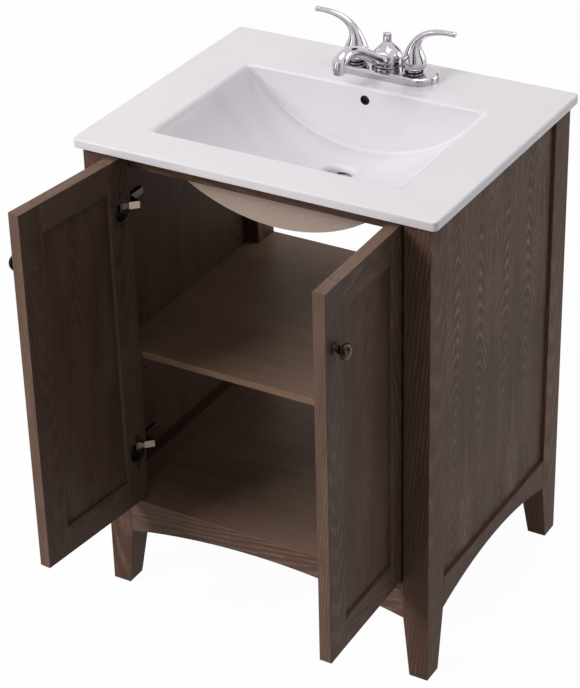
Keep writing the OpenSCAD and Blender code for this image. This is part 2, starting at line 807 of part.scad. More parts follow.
module handle(s) {
    l = lever_reach;
    h = bell_h;
    u = lever_rise;
    path = [[0, 0, h - 9], [l * 0.12, 0, h + u * 0.3], [l * 0.3, 0, h + u * 0.75], [l * 0.55, 0, h + u], [l - 5, 0, h + u]];
    radii = [9.5, 8.5, 7, 6, 5.5];
    color(chrome) placed() translate([s * tap_pitch / 2, tap_y, ring_z + seat]) mirror([s < 0 ? 1 : 0, 0, 0])
        difference() {
            union() {
                rotate_extrude() bell_outline();
                for (i = [0:3]) bar(path[i], path[i + 1], radii[i], radii[i + 1], 0.75);
            }
            translate([0, 0, -1]) cylinder(r = stem_r, h = stem_high + 1);
        }
}

module valve_stem(s)
    color("goldenrod") placed() translate([s * tap_pitch / 2, tap_y, ring_z + seat - stem_low])
        cylinder(r = stem_r, h = stem_low + stem_high);

module lift_rod() {
    top_z = base_top_z + hub_h + seat;
    color(chrome) placed() translate([0, tap_y + hub_back, 0]) {
        translate([0, 0, slab_z - rod_drop]) cylinder(r = rod_r, h = top_z - slab_z + rod_drop + 1);
        translate([0, 0, top_z]) rotate_extrude() polygon([
            [0, 0], [5.2, 0], [4.6, knob_rise * 0.2], [4.2, knob_rise * 0.45], [4.8, knob_rise * 0.65],
            [6.4, knob_rise * 0.85], [6.4, knob_rise * 0.94], [4.5, knob_rise], [0, knob_rise]
        ]);
    }
}

post(-1, -1);  // post_front_left
post(1, -1);  // post_front_right
post(-1, 1);  // post_rear_left
post(1, 1);  // post_rear_right
side_panel(-1);  // side_panel_left
side_panel(1);  // side_panel_right
side_rail(-1);  // side_rail_left
side_rail(1);  // side_rail_right
front_bottom_rail();
front_top_rail();
rear_bottom_rail();
rear_top_rail();
floor_panel();
shelf();
shelf_pins();
hinge_stile(-1);  // door_left_hinge_stile
free_stile(-1);  // door_left_free_stile
door_top_rail(-1);  // door_left_top_rail
door_bottom_rail(-1);  // door_left_bottom_rail
door_panel(-1);  // door_left_panel
hinge_stile(1);  // door_right_hinge_stile
free_stile(1);  // door_right_free_stile
door_top_rail(1);  // door_right_top_rail
door_bottom_rail(1);  // door_right_bottom_rail
door_panel(1);  // door_right_panel
knob(-1);  // knob_left
knob(1);  // knob_right
knob_screw(-1);  // knob_screw_left
knob_screw(1);  // knob_screw_right
hinge_cup(-1, hinge_low_z);  // hinge_cup_left_lower
hinge_cup(-1, hinge_high_z);  // hinge_cup_left_upper
hinge_cup(1, hinge_low_z);  // hinge_cup_right_lower
hinge_cup(1, hinge_high_z);  // hinge_cup_right_upper
hinge_arm(-1, hinge_low_z);  // hinge_arm_left_lower
hinge_arm(-1, hinge_high_z);  // hinge_arm_left_upper
hinge_arm(1, hinge_low_z);  // hinge_arm_right_lower
hinge_arm(1, hinge_high_z);  // hinge_arm_right_upper
hinge_plate(-1, hinge_low_z);  // hinge_plate_left_lower
hinge_plate(-1, hinge_high_z);  // hinge_plate_left_upper
hinge_plate(1, hinge_low_z);  // hinge_plate_right_lower
hinge_plate(1, hinge_high_z);  // hinge_plate_right_upper
hinge_pins(-1);  // hinge_pins_left
hinge_pins(1);  // hinge_pins_right
cup_screws(-1);  // cup_screws_left
cup_screws(1);  // cup_screws_right
plate_screws();
arm_screws();
basin_top();
tap_base();
spout();
aerator();
tap_shanks();
shank_nuts();
handle(-1);  // handle_hot
handle(1);  // handle_cold
valve_stem(-1);  // valve_stem_hot
valve_stem(1);  // valve_stem_cold
lift_rod();
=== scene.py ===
import math

import bmesh
import bpy
from mathutils import Matrix, Vector


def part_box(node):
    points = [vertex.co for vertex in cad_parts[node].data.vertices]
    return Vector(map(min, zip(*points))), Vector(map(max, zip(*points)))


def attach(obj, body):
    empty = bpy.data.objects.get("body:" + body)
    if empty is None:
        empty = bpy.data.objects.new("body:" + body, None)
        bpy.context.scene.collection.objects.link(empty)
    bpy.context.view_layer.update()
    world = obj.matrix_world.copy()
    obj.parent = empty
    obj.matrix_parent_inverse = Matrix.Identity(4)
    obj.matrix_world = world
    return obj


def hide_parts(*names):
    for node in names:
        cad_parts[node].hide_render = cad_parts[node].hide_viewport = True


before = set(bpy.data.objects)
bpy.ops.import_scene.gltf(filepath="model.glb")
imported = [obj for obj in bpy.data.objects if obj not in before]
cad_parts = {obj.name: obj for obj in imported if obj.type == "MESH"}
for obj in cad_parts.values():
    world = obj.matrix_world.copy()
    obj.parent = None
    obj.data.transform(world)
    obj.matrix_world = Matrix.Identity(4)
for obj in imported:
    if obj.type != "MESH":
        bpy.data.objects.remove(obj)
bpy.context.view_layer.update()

# The photographer's place: a long lens above head height, in front of the unit and to its right, that
# looks down on it. The lens is shifted a little in its mount, so its axis isn't the picture's middle.
lens = bpy.data.cameras.new("camera")
lens.lens = 118.463
lens.sensor_width = 36
lens.shift_y = -0.0509
lens.clip_end = 60
photographer = bpy.data.objects.new("camera", lens)
photographer.location = (1.537263, -2.624529, 2.236632)
tilt, roll, turn = 60.6235, 1.3176, 29.845
photographer.rotation_euler = [math.radians(angle) for angle in (tilt, roll, turn)]
bpy.context.scene.collection.objects.link(photographer)
bpy.context.scene.camera = photographer
bpy.context.scene.view_settings.view_transform = "Standard"

# The studio: a white paper floor that runs out of sight, and soft boxes above, in front, behind at the
# right, low at the right and at the left. Black cards and a grey one stand round the set and show only
# as reflections.


def step(tree, kind, feeds=None, **settings):
    made = tree.nodes.new(kind)
    for key, value in settings.items():
        setattr(made, key, value)
    for key, value in (feeds or {}).items():
        if isinstance(value, bpy.types.NodeSocket):
            tree.links.new(value, made.inputs[key])
        else:
            made.inputs[key].default_value = value
    return made


def reckoned(tree, operation, *feeds, clamp=False):
    made = step(tree, "ShaderNodeMath", dict(enumerate(feeds)), operation=operation, use_clamp=clamp)
    return made.outputs[0]


def between(tree, value, low, high, from_low=0.0, from_high=1.0):
    return step(tree, "ShaderNodeMapRange", {
        "Value": value, "From Min": from_low, "From Max": from_high, "To Min": low, "To Max": high,
    }).outputs[0]


def finish(name):
    made = bpy.data.materials.new(name)
    made.use_nodes = True
    tree = made.node_tree
    return made, tree, tree.nodes["Principled BSDF"]


def add_piece(name, shape, material):
    mesh = bpy.data.meshes.new(name)
    shape.to_mesh(mesh)
    shape.free()
    mesh.materials.append(material)
    piece = bpy.data.objects.new(name, mesh)
    bpy.context.scene.collection.objects.link(piece)
    return piece


def seen_directly(tree):
    path = step(tree, "ShaderNodeLightPath").outputs
    seen = reckoned(tree, "MAXIMUM", path["Is Camera Ray"], path["Is Glossy Ray"])
    return reckoned(tree, "MAXIMUM", seen, path["Is Transmission Ray"])


paper, tree, shade = finish("white_paper")
seen = seen_directly(tree)
paper_tone, own_white, paper_glow = (0.6, 0.6, 0.6, 1), (1, 1, 1, 1), 0.97
white = step(tree, "ShaderNodeMix", {0: seen, 6: paper_tone, 7: own_white}, data_type="RGBA")
tree.links.new(white.outputs[2], shade.inputs["Base Color"])
shade.inputs["Roughness"].default_value = 0.9
shade.inputs["Specular IOR Level"].default_value = 0.1
glow = step(tree, "ShaderNodeEmission", {"Color": own_white, "Strength": 1.0})
share = reckoned(tree, "MULTIPLY", seen, paper_glow)
mix = step(tree, "ShaderNodeMixShader", {0: share, 1: shade.outputs[0], 2: glow.outputs[0]})
tree.links.new(mix.outputs[0], tree.nodes["Material Output"].inputs["Surface"])
paper_half = 9
shape = bmesh.new()
bmesh.ops.create_grid(shape, x_segments=1, y_segments=1, size=paper_half)
add_piece("paper_floor", shape, paper)

sky = bpy.data.worlds.new("studio")
bpy.context.scene.world = sky
sky.use_nodes = True
tree = sky.node_tree
plain = tree.nodes["Background"]
plain.inputs["Color"].default_value = (1, 1, 1, 1)
room_light, white_wall = 0.2, 1.0
tree.links.new(between(tree, seen_directly(tree), room_light, white_wall), plain.inputs["Strength"])


def soft_box(name, place, aim, size, power, mirrored=True):
    lamp = bpy.data.lights.new(name, "AREA")
    lamp.shape = "RECTANGLE"
    lamp.size, lamp.size_y = size
    lamp.energy = power
    made = bpy.data.objects.new(name, lamp)
    made.location = place
    made.rotation_euler = (Vector(aim) - Vector(place)).to_track_quat("-Z", "Y").to_euler()
    made.visible_glossy = mirrored
    bpy.context.scene.collection.objects.link(made)


soft_box("box_above", place=(0.2, 0.4, 3.4), aim=(0, 0, 0.8), size=(2.0, 2.0), power=30.5)
soft_box("box_front", place=(-2.2, -3.0, 3.0), aim=(0, 0, 0.5), size=(1.6, 1.6), power=131, mirrored=False)
soft_box("box_right", place=(2.6, 2.8, 1.6), aim=(0.1, 0, 0.5), size=(1.6, 1.8), power=17)
soft_box("box_low", place=(1.5, 1.1, 0.35), aim=(0.26, -0.33, 0.69), size=(0.12, 0.12), power=0.25)
soft_box("box_strip", place=(-1.35, -1.25, 1.6), aim=(0, 0.3, 0.85), size=(0.12, 1.3), power=2.5)

black, tree, shade = finish("black_card")
shade.inputs["Base Color"].default_value = (0.01, 0.01, 0.01, 1)
shade.inputs["Roughness"].default_value = 1.0
grey, tree, shade = finish("grey_card")
shade.inputs["Base Color"].default_value = (0, 0, 0, 1)
shade.inputs["Emission Color"].default_value = (0.42, 0.4, 0.42, 1)
shade.inputs["Emission Strength"].default_value = 1.0


def stand_card(name, place, size, stock):
    shape = bmesh.new()
    bmesh.ops.create_cube(shape, size=1, matrix=Matrix.Translation(place) @ Matrix.Diagonal((*size, 1)))
    card = add_piece(name, shape, stock)
    card.visible_camera = False
    card.visible_diffuse = False
    card.visible_shadow = False


stand_card("card_left", place=(-1.6, -0.6, 1.2), size=(0.02, 0.5, 0.9), stock=black)
stand_card("card_back", place=(0.3, 2.0, 1.4), size=(0.7, 0.02, 0.5), stock=black)
stand_card("card_camera", place=(0.95, -1.7, 1.3), size=(0.3, 0.3, 2.4), stock=black)
stand_card("card_right", place=(2.4, 1.0, 1.2), size=(0.4, 0.4, 1.8), stock=black)
stand_card("card_front", place=(-0.7, -2.6, 0.9), size=(0.3, 0.3, 1.4), stock=black)
stand_card("card_wide", place=(2.2, -3.4, 1.8), size=(2.6, 2.0, 3.0), stock=grey)

# The basin top: one casting of white-glazed stoneware, slab, scoop bowl and overflow channel together.
# The glaze rounds every edge. Under the slab the clay is bare and buff, and the overflow's throat is painted
# dark as painted shade for the deep hole.
mm = 0.001
fold_angle, seat_fold_angle = 28, 20
slab_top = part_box("tap_base")[0].z
slab_low, slab_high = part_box("basin_top")
outline_band = 10 * mm
tap_ledge = 100 * mm
bowl_half_width, bowl_ledge, bowl_depth = 250 * mm, 120 * mm, 120 * mm
rim_round, seat_round, lip_round, foot_round, crease_round = 6 * mm, 8 * mm, 3 * mm, 2 * mm, 7 * mm
waste_middle = Vector((0, 134.2 * mm))
waste_radius = 22.5 * mm
waste_depths = (90 * mm, 115 * mm)
overflow_drop, overflow_reach, overflow_ledge = 21 * mm, 9 * mm, 130 * mm
foot_top = slab_top - 6 * mm
slab_underside = slab_top - 14.9 * mm
channel_front = slab_high.y - 125 * mm
bowl_bottom = slab_top - 108.5 * mm
above_bowl = Vector((0, (slab_low.y + slab_high.y) / 2 - 40 * mm, slab_top + 150 * mm))


def colour(red, green, blue):
    return tuple(
        ((v / 255 + 0.055) / 1.055) ** 2.4 if v > 10 else v / 255 / 12.92 for v in (red, green, blue)
    ) + (1,)


def own_place(tree):
    return step(tree, "ShaderNodeTexCoord").outputs["Object"]


def cloud(tree, place, scale, detail, roughness=0.5):
    return step(tree, "ShaderNodeTexNoise", {
        "Vector": place, "Scale": scale, "Detail": detail, "Roughness": roughness,
    })


def mottle(tree, shade, value, low, dark, high, pale):
    ramp = step(tree, "ShaderNodeValToRGB", {"Fac": value})
    first, last = ramp.color_ramp.elements
    first.position, first.color = low, dark
    last.position, last.color = high, pale
    tree.links.new(ramp.outputs[0], shade.inputs["Base Color"])


def relief(tree, shade, height, strength, depth, sunk=False):
    feeds = {"Height": height, "Strength": strength, "Distance": depth}
    bump = step(tree, "ShaderNodeBump", feeds, invert=sunk)
    tree.links.new(bump.outputs[0], shade.inputs["Normal"])


def copy_of(*nodes):
    shape = bmesh.new()
    for node in nodes:
        shape.from_mesh(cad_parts[node].data)
    bmesh.ops.remove_doubles(shape, verts=shape.verts[:], dist=0.01 * mm)
    bmesh.ops.dissolve_limit(
        shape, angle_limit=math.radians(0.5), verts=shape.verts[:], edges=shape.edges[:])
    return shape


def folds(shape, angle, shortest=0.0, convex=True):
    return [
        edge for edge in shape.edges
        if len(edge.link_faces) == 2 and edge.calc_face_angle(0) > math.radians(angle)
        and edge.calc_length() > shortest and edge.is_convex == convex
    ]


def ease(shape, edges, radius, segments=2):
    bmesh.ops.bevel(
        shape, geom=edges, offset=radius, offset_type="OFFSET", segments=segments, profile=0.5,
        affect="EDGES", clamp_overlap=False, material=-1,
    )


def even_shading(piece, angle=40):
    mesh = piece.data
    shape = bmesh.new()
    shape.from_mesh(mesh)
    for face in shape.faces:
        face.smooth = True
    for edge in shape.edges:
        edge.smooth = not (len(edge.link_faces) == 2 and edge.calc_face_angle(0) > math.radians(angle))
    shape.to_mesh(mesh)
    shape.free()
    even = piece.modifiers.new("even", "WEIGHTED_NORMAL")
    even.keep_sharp = True


def with_ends(edges, test):
    return [edge for edge in edges if all(test(corner.co) for corner in edge.verts)]


def near_outline(spot):
    sides = (spot.x - slab_low.x, slab_high.x - spot.x, spot.y - slab_low.y, slab_high.y - spot.y)
    return min(sides) < outline_band


def on_top(spot):
    return spot.z > slab_top - 1 * mm


def on_rim(spot):
    return on_top(spot) and spot.y < slab_high.y - tap_ledge and not near_outline(spot)


def on_waste_seat(spot):
    least, most = waste_depths
    round_hole = abs((spot.xy - waste_middle).length - waste_radius) < 1 * mm
    return round_hole and slab_top - most < spot.z < slab_top - least


def on_lip(spot):
    return on_top(spot) and near_outline(spot)


def on_foot(spot):
    return spot.z < foot_top and near_outline(spot)


def in_bowl(spot):
    between_ends = abs(spot.x) < bowl_half_width and spot.y < slab_high.y - bowl_ledge
    return between_ends and spot.z > slab_top - bowl_depth


def in_shaded_throat(face, spot):
    round_hole = max(abs(spot.x), abs(spot.z - slab_top + overflow_drop)) < overflow_reach
    return round_hole and spot.y > slab_high.y - overflow_ledge and abs(face.normal.y) < 0.5


def unglazed(face, spot):
    below = spot.z < slab_underside
    hidden = face.normal.z < 0.1 or spot.y > channel_front or spot.z < bowl_bottom
    return below and hidden and (above_bowl - spot).dot(face.normal) < 0


glaze, tree, shade = finish("white_glaze")
place = own_place(tree)
glaze_pool = cloud(tree, place, scale=9, detail=3)
mottle(tree, shade, glaze_pool.outputs["Fac"], 0.3, colour(226, 221, 226), 0.7, colour(229, 224, 229))
ripple = cloud(tree, place, scale=38, detail=2)
relief(tree, shade, ripple.outputs["Fac"], strength=0.03, depth=1 * mm)
shade.inputs["Roughness"].default_value = 0.14
shade.inputs["Coat Weight"].default_value = 0.25
shade.inputs["Coat Roughness"].default_value = 0.04

clay, tree, shade = finish("bare_clay")
speck = cloud(tree, own_place(tree), scale=420, detail=4).outputs["Fac"]
mottle(tree, shade, speck, 0.35, colour(188, 166, 152), 0.65, colour(202, 180, 167))
relief(tree, shade, speck, strength=0.4, depth=0.6 * mm)
shade.inputs["Roughness"].default_value = 0.8

# The overflow's throat: a dark stock on its walls, as painted shade standing in for the hole's shadow.
throat_shade, tree, shade = finish("painted_shade_throat")
speck = cloud(tree, own_place(tree), scale=300, detail=3).outputs["Fac"]
mottle(tree, shade, speck, 0.35, colour(46, 38, 40), 0.65, colour(64, 54, 56))
shade.inputs["Roughness"].default_value = 0.8

shape = copy_of("basin_top")
ease(shape, with_ends(folds(shape, fold_angle), on_rim), rim_round, 6)
ease(shape, with_ends(folds(shape, seat_fold_angle), on_waste_seat), seat_round, 6)
ease(shape, with_ends(folds(shape, fold_angle), on_lip), lip_round, 3)
ease(shape, with_ends(folds(shape, fold_angle), on_foot), foot_round, 2)
crease = [
    edge for edge in with_ends(folds(shape, fold_angle, convex=False), in_bowl)
    if sum(face.normal.z for face in edge.link_faces) > 0.2
]
ease(shape, crease, crease_round, 4)
for face in shape.faces:
    middle = face.calc_center_median()
    if in_shaded_throat(face, middle):
        face.material_index = 2
    elif unglazed(face, middle):
        face.material_index = 1
    else:
        face.material_index = 0
basin = add_piece("basin", shape, glaze)
basin.data.materials.append(clay)
basin.data.materials.append(throat_shade)
even_shading(basin)
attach(basin, "cabinet")
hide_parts("basin_top")

# The carcass: posts, rails and side panels of flat-sawn oak, stained dark grey-brown and limed, so the
# pores show as pale streaks. Boards are tenoned and glued, and each arris is lightly sanded. The side
# panels are laid up from matched leaves of veneer.
up, along, inward, front, right, left = (0, 0, 1), (1, 0, 0), (0, 1, 0), (0, -1, 0), (1, 0, 0), (-1, 0, 0)
arris, shortest_arris = 0.9 * mm, 2.5 * mm
back_facing, edge_facing = -0.7, 0.95
post_tones = colour(82, 60, 47), colour(91, 69, 58), colour(138, 112, 97)
rear_tones = colour(92, 67, 53), colour(102, 76, 63), colour(148, 119, 102)
panel_tones = colour(74, 54, 44), colour(93, 72, 64), colour(172, 143, 131)
inner_tones = colour(82, 61, 49), colour(90, 69, 58), colour(112, 90, 78)
rail_tones = colour(92, 69, 56), colour(102, 79, 68), colour(146, 120, 104)
# One flat paler tone for the front bottom rail's top, ends and arrises: wear and a painted highlight.
worn_highlit_rail_tones = [colour(128, 102, 88)] * 3


def plank_axes(tree, grain, face, middle, heart, leaf):
    """Places in the board from the tree's heart: x across its face, y through it, z along the grain.
    Each leaf of veneer mirrors its neighbour, so x runs to and fro across them."""
    grain = Vector(grain).normalized()
    face = Vector(face).normalized()
    turn = Matrix((face.cross(grain), face, grain))
    plank = step(tree, "ShaderNodeMapping", {
        "Vector": own_place(tree), "Location": -(turn @ Vector(middle)), "Rotation": turn.to_euler(),
    })
    apart = step(tree, "ShaderNodeSeparateXYZ", {"Vector": plank.outputs[0]})
    leaves_before = 2.5
    from_edge = reckoned(tree, "ADD", apart.outputs["X"], leaves_before * leaf)
    folded = reckoned(tree, "PINGPONG", from_edge, leaf)
    leaves = step(tree, "ShaderNodeCombineXYZ", {
        "X": folded, "Y": apart.outputs["Y"], "Z": apart.outputs["Z"],
    })
    return step(tree, "ShaderNodeMapping", {
        "Vector": leaves.outputs[0], "Location": Vector(heart) - Vector((leaf / 2, 0, 0)),
    }).outputs[0]


def drawn_out(tree, place, squeeze):
    return step(tree, "ShaderNodeMapping", {"Vector": place, "Scale": (1, 1, squeeze)}).outputs[0]


def swayed(tree, plank, long, wander):
    drift = cloud(tree, long, scale=14, detail=2, roughness=0.4)
    sway = step(tree, "ShaderNodeVectorMath", {
        0: drift.outputs["Color"], 1: (wander, wander, 0.0), 2: (-wander / 2, -wander / 2, 0.0),
    }, operation="MULTIPLY_ADD")
    return step(tree, "ShaderNodeVectorMath", {0: plank, 1: sway.outputs[0]}, operation="ADD").outputs[0]


def pore_rows(tree, bent, lean, ring):
    """Growth rings as cones that lean along the grain; each year starts with a dense row of pores."""
    flat = step(tree, "ShaderNodeVectorMath", {0: bent, 1: (1, 1, 0)}, operation="MULTIPLY")
    radius = step(tree, "ShaderNodeVectorMath", {0: flat.outputs[0]}, operation="LENGTH")
    height = step(tree, "ShaderNodeSeparateXYZ", {"Vector": bent}).outputs["Z"]
    cone = reckoned(tree, "MULTIPLY_ADD", height, -lean, radius.outputs["Value"])
    cone = step(tree, "ShaderNodeCombineXYZ", {"X": cone})
    rings = step(
        tree, "ShaderNodeTexWave",
        {"Vector": cone.outputs[0], "Scale": math.pi / (10 * ring), "Distortion": 0.0},
        wave_type="BANDS", bands_direction="X", wave_profile="SAW",
    )
    rows = step(tree, "ShaderNodeValToRGB", {"Fac": rings.outputs["Fac"]})
    year_end = 0.3
    for edge, position in zip(rows.color_ramp.elements, (0.0, 1.0)):
        edge.position = position
        edge.color = (year_end, year_end, year_end, 1)
    for position, pores in ((0.12, 1.0), (0.34, 0.9), (0.5, 0.2), (0.8, 0.0)):
        rows.color_ramp.elements.new(position).color = (pores, pores, pores, 1)
    return rows.outputs[0]


def oak(
    name, grain, face, middle, heart, lean, tones,
    lime=1.0, ring=0.006, leaf=0.5, gloss=0.5, wander=0.02,
):
    """Stained, limed oak. heart: where the tree's heart lies from the board's middle. lean: how fast the
    rings widen along the board. tones: dark ground, hazy ground and limed pore. ring: a year's growth."""
    made, tree, shade = finish(name)
    dark, hazy, pale = tones
    plank = plank_axes(tree, grain, face, middle, heart, leaf)
    long = drawn_out(tree, plank, squeeze=0.16)
    bent = swayed(tree, plank, long, wander)
    rows = pore_rows(tree, bent, lean, ring)
    fine = drawn_out(tree, bent, squeeze=0.12)
    pores = cloud(tree, fine, scale=620, detail=2, roughness=0.6).outputs["Fac"]
    cloth = drawn_out(tree, bent, squeeze=0.1)
    wiped = cloud(tree, cloth, scale=150, detail=3, roughness=0.7).outputs["Fac"]
    broad = cloud(tree, long, scale=10, detail=1).outputs["Fac"]
    patches = cloud(tree, long, scale=32, detail=3, roughness=0.6).outputs["Fac"]
    filled = between(tree, pores, 0.35, 1.0, from_low=0.4, from_high=0.6)
    kept = between(tree, wiped, 0.25, 1.0, from_low=0.38, from_high=0.62)
    amount = between(tree, broad, 0.25 * lime, lime, from_low=0.4, from_high=0.6)
    patch = between(tree, patches, 0.0, 1.0, from_low=0.38, from_high=0.62)
    limed = reckoned(tree, "MULTIPLY", reckoned(tree, "MULTIPLY", rows, filled), kept)
    limed = reckoned(tree, "MULTIPLY", limed, amount, clamp=True)
    ground = step(tree, "ShaderNodeMix", {"Factor": patch, 6: dark, 7: hazy}, data_type="RGBA")
    tint = step(tree, "ShaderNodeMix", {"Factor": limed, 6: ground.outputs[2], 7: pale}, data_type="RGBA")
    tree.links.new(tint.outputs[2], shade.inputs["Base Color"])
    relief(tree, shade, reckoned(tree, "MULTIPLY", rows, pores), strength=0.35, depth=0.6 * mm, sunk=True)
    tree.links.new(between(tree, pores, gloss - 0.06, gloss + 0.12), shade.inputs["Roughness"])
    shade.inputs["Specular IOR Level"].default_value = 0.1
    return made


def board(node, body, stock, edge_stock=None, back_stock=None, face=None):
    shape = copy_of(node)
    ease(shape, folds(shape, fold_angle, shortest_arris), arris)
    for side in shape.faces:
        turned_out = side.normal.dot(Vector(face)) if face else 1
        if back_stock and turned_out < back_facing:
            side.material_index = 2
        elif edge_stock and abs(turned_out) < edge_facing:
            side.material_index = 1
    piece = add_piece(node + "_oak", shape, stock)
    piece.data.materials.append(edge_stock or stock)
    piece.data.materials.append(back_stock or stock)
    even_shading(piece)
    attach(piece, body)
    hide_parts(node)


def middle_of(node):
    low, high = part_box(node)
    return (low + high) / 2


for node, face, heart, lean, tones in (
    ("post_front_left", front, (0.01, 0.05, 0.3), 0.08, post_tones),
    ("post_front_right", right, (-0.012, 0.05, 0.1), 0.1, post_tones),
    ("post_rear_left", right, (0.015, 0.06, 0.2), 0.08, post_tones),
    ("post_rear_right", right, (-0.02, 0.06, 0.4), 0.09, rear_tones),
):
    board(node, "cabinet", oak(node + "_oak", up, face, middle_of(node), heart, lean, tones, lime=0.8))

leaf_shift = Vector((0, 26 * mm, 0))
panel_veneer = {"lime": 1.25, "ring": 3.8 * mm, "leaf": 85 * mm, "wander": 24 * mm}
rail_oak = {"lime": 0.7, "ring": 3.6 * mm, "wander": 18 * mm}
for side, outward, heart, lean in (
    ("left", left, (0, 0.012, 0.1), -0.14),
    ("right", right, (0, 0.012, 0.25), -0.15),
):
    node = "side_panel_" + side
    matched = middle_of(node) + leaf_shift
    stock = oak(node + "_oak", up, right, matched, heart, lean, panel_tones, **panel_veneer)
    inside = oak(node + "_inside", up, right, middle_of(node), heart, 0.05, inner_tones, lime=0.35)
    board(node, "cabinet", stock, back_stock=inside, face=outward)
    node = "side_rail_" + side
    middle = middle_of(node)
    stock = oak(node + "_oak", inward, right, middle, heart, 0.06, post_tones, **rail_oak)
    inside = oak(node + "_inside", inward, right, middle, heart, 0.05, inner_tones, lime=0.35)
    board(node, "cabinet", stock, back_stock=inside, face=outward)

for node, heart in (
    ("front_top_rail", (-0.03, 0.04, 0.1)),
    ("rear_bottom_rail", (0.03, 0.05, 0.5)),
    ("rear_top_rail", (-0.02, 0.05, 0.4)),
):
    stock = oak(node + "_oak", along, front, middle_of(node), heart, 0.06, post_tones, lime=0.8)
    board(node, "cabinet", stock)

node = "front_bottom_rail"
middle = middle_of(node)
heart = (0.02, 0.05, 0.2)
stock = oak(node + "_oak", along, front, middle, heart, 0.06, rail_tones, lime=0.8, ring=4 * mm)
# The rail's top, ends and arrises are painted paler: wear, and a painted highlight where light falls on the
# top.
highlit_worn_rail = oak(node + "_edge", along, front, middle, heart, 0.06, worn_highlit_rail_tones, lime=0.8)
board(node, "cabinet", stock, edge_stock=highlit_worn_rail, face=front)

# The floor panel and the loose shelf: veneered board in the same stain under a smoother lacquer.
# The floor's ends lie in grooves in the side rails; the shelf stands loose on four nickel pins.
floor_tones = colour(117, 95, 81), colour(125, 102, 87), colour(146, 121, 104)
shelf_tones = colour(129, 105, 88), colour(137, 112, 95), colour(157, 130, 111)
edge_tones = colour(128, 101, 82), colour(136, 109, 90), colour(156, 127, 106)
for node, heart, tones in (
    ("floor_panel", (0.08, 0.09, 0.1), floor_tones),
    ("shelf", (-0.1, 0.1, 0.3), shelf_tones),
):
    middle = middle_of(node)
    stock = oak(node + "_oak", along, up, middle, heart, 0.05, tones, lime=0.5, gloss=0.42)
    edge = oak(node + "_edge", along, front, middle, heart, 0.05, edge_tones, lime=0.5, gloss=0.42)
    board(node, "cabinet", stock, edge_stock=edge, face=up)

# The doors: framed leaves with flat panels in grooves, stiles running through and rails between them.
# Each hangs open on its two hinges, so the rails' grain follows the open leaf. Edges are rubbed paler, and
# painted paler still as a painted highlight along the arrises and top edges.
leaf_turns = {
    "left": Matrix.Rotation(math.radians(-96), 3, "Z"),
    "right": Matrix.Rotation(math.radians(91), 3, "Z"),
}
leaf_lime = {"left": 0.45, "right": 0.65}
edge_lime = 0.6
leaf_ring = 4.4 * mm
leaf_tones = colour(78, 58, 48), colour(88, 70, 62), colour(136, 113, 103)
# Edge tones: real wear together with a painted highlight on the edge faces and arrises.
worn_highlit_tones = colour(98, 75, 63), colour(110, 88, 77), colour(150, 124, 110)
for side, open_turn in leaf_turns.items():
    leaf = open_turn @ Vector((1 if side == "left" else -1, 0, 0))
    outer = open_turn @ Vector(front)
    for part, grain, heart, lean in (
        ("hinge_stile", up, (0.01, 0.05, 0.2), 0.08),
        ("free_stile", up, (-0.01, 0.05, 0.5), 0.09),
        ("top_rail", leaf, (0.015, 0.05, 0.1), 0.08),
        ("bottom_rail", leaf, (-0.02, 0.05, 0.3), 0.08),
        ("panel", up, (0.01, 0.02, 0.15), -0.1),
    ):
        node = f"door_{side}_{part}"
        cut = (grain, outer, middle_of(node), heart, lean)
        stock = oak(node + "_oak", *cut, leaf_tones, lime=leaf_lime[side], ring=leaf_ring)
        # The edge stock carries wear and a painted highlight on the edges and arrises.
        edge = oak(node + "_edge", *cut, worn_highlit_tones, lime=edge_lime, ring=leaf_ring)
        board(node, "door_" + side, stock, edge_stock=edge, face=outer)

# The knobs: turned mushroom knobs in dark oil-rubbed bronze, each held by a screw through its stile.
# Each has a round foot, a waisted neck and a domed crown with a thin ridge round its back edge. The
# profile gives heights over the stile and radii, both in millimetres.
bronze, tree, shade = finish("dark_bronze")
wear = cloud(tree, own_place(tree), scale=160, detail=4)
mottle(tree, shade, wear.outputs["Fac"], 0.42, colour(30, 19, 14), 0.72, colour(84, 66, 56))
shade.inputs["Metallic"].default_value = 0.9
shade.inputs["Roughness"].default_value = 0.24


def swept(stations, sideways, sides=16):
    """A closed bar through stations of place, radius and flatness, one width of it lying sideways."""
    shape = bmesh.new()
    places = [Vector(place) for place, radius, flat in stations]
    across = Vector(sideways)
    turns = []
    for i, (place, radius, flat) in enumerate(stations):
        ahead = (places[min(i + 1, len(places) - 1)] - places[max(i - 1, 0)]).normalized()
        turn = Matrix((across, ahead.cross(across), ahead)).transposed().to_4x4()
        turns.append(Matrix.Translation(place) @ turn @ Matrix.Diagonal((radius, radius * flat, 1, 1)))
    bmesh.ops.create_circle(shape, cap_ends=True, segments=sides, radius=1, matrix=turns[0])
    ring = shape.edges[:]
    for before, after in zip(turns, turns[1:]):
        grown = bmesh.ops.extrude_edge_only(shape, edges=ring)["geom"]
        ring = [part for part in grown if isinstance(part, bmesh.types.BMEdge)]
        corners = [part for part in grown if isinstance(part, bmesh.types.BMVert)]
        bmesh.ops.transform(shape, matrix=after @ before.inverted(), verts=corners)
    bmesh.ops.edgeloop_fill(shape, edges=ring)
    bmesh.ops.recalc_face_normals(shape, faces=shape.faces[:])
    for face in shape.faces:
        face.smooth = True
    return shape


def rounded(piece, levels=2):
    smooth = piece.modifiers.new("rounded", "SUBSURF")
    smooth.levels = smooth.render_levels = levels
    return piece


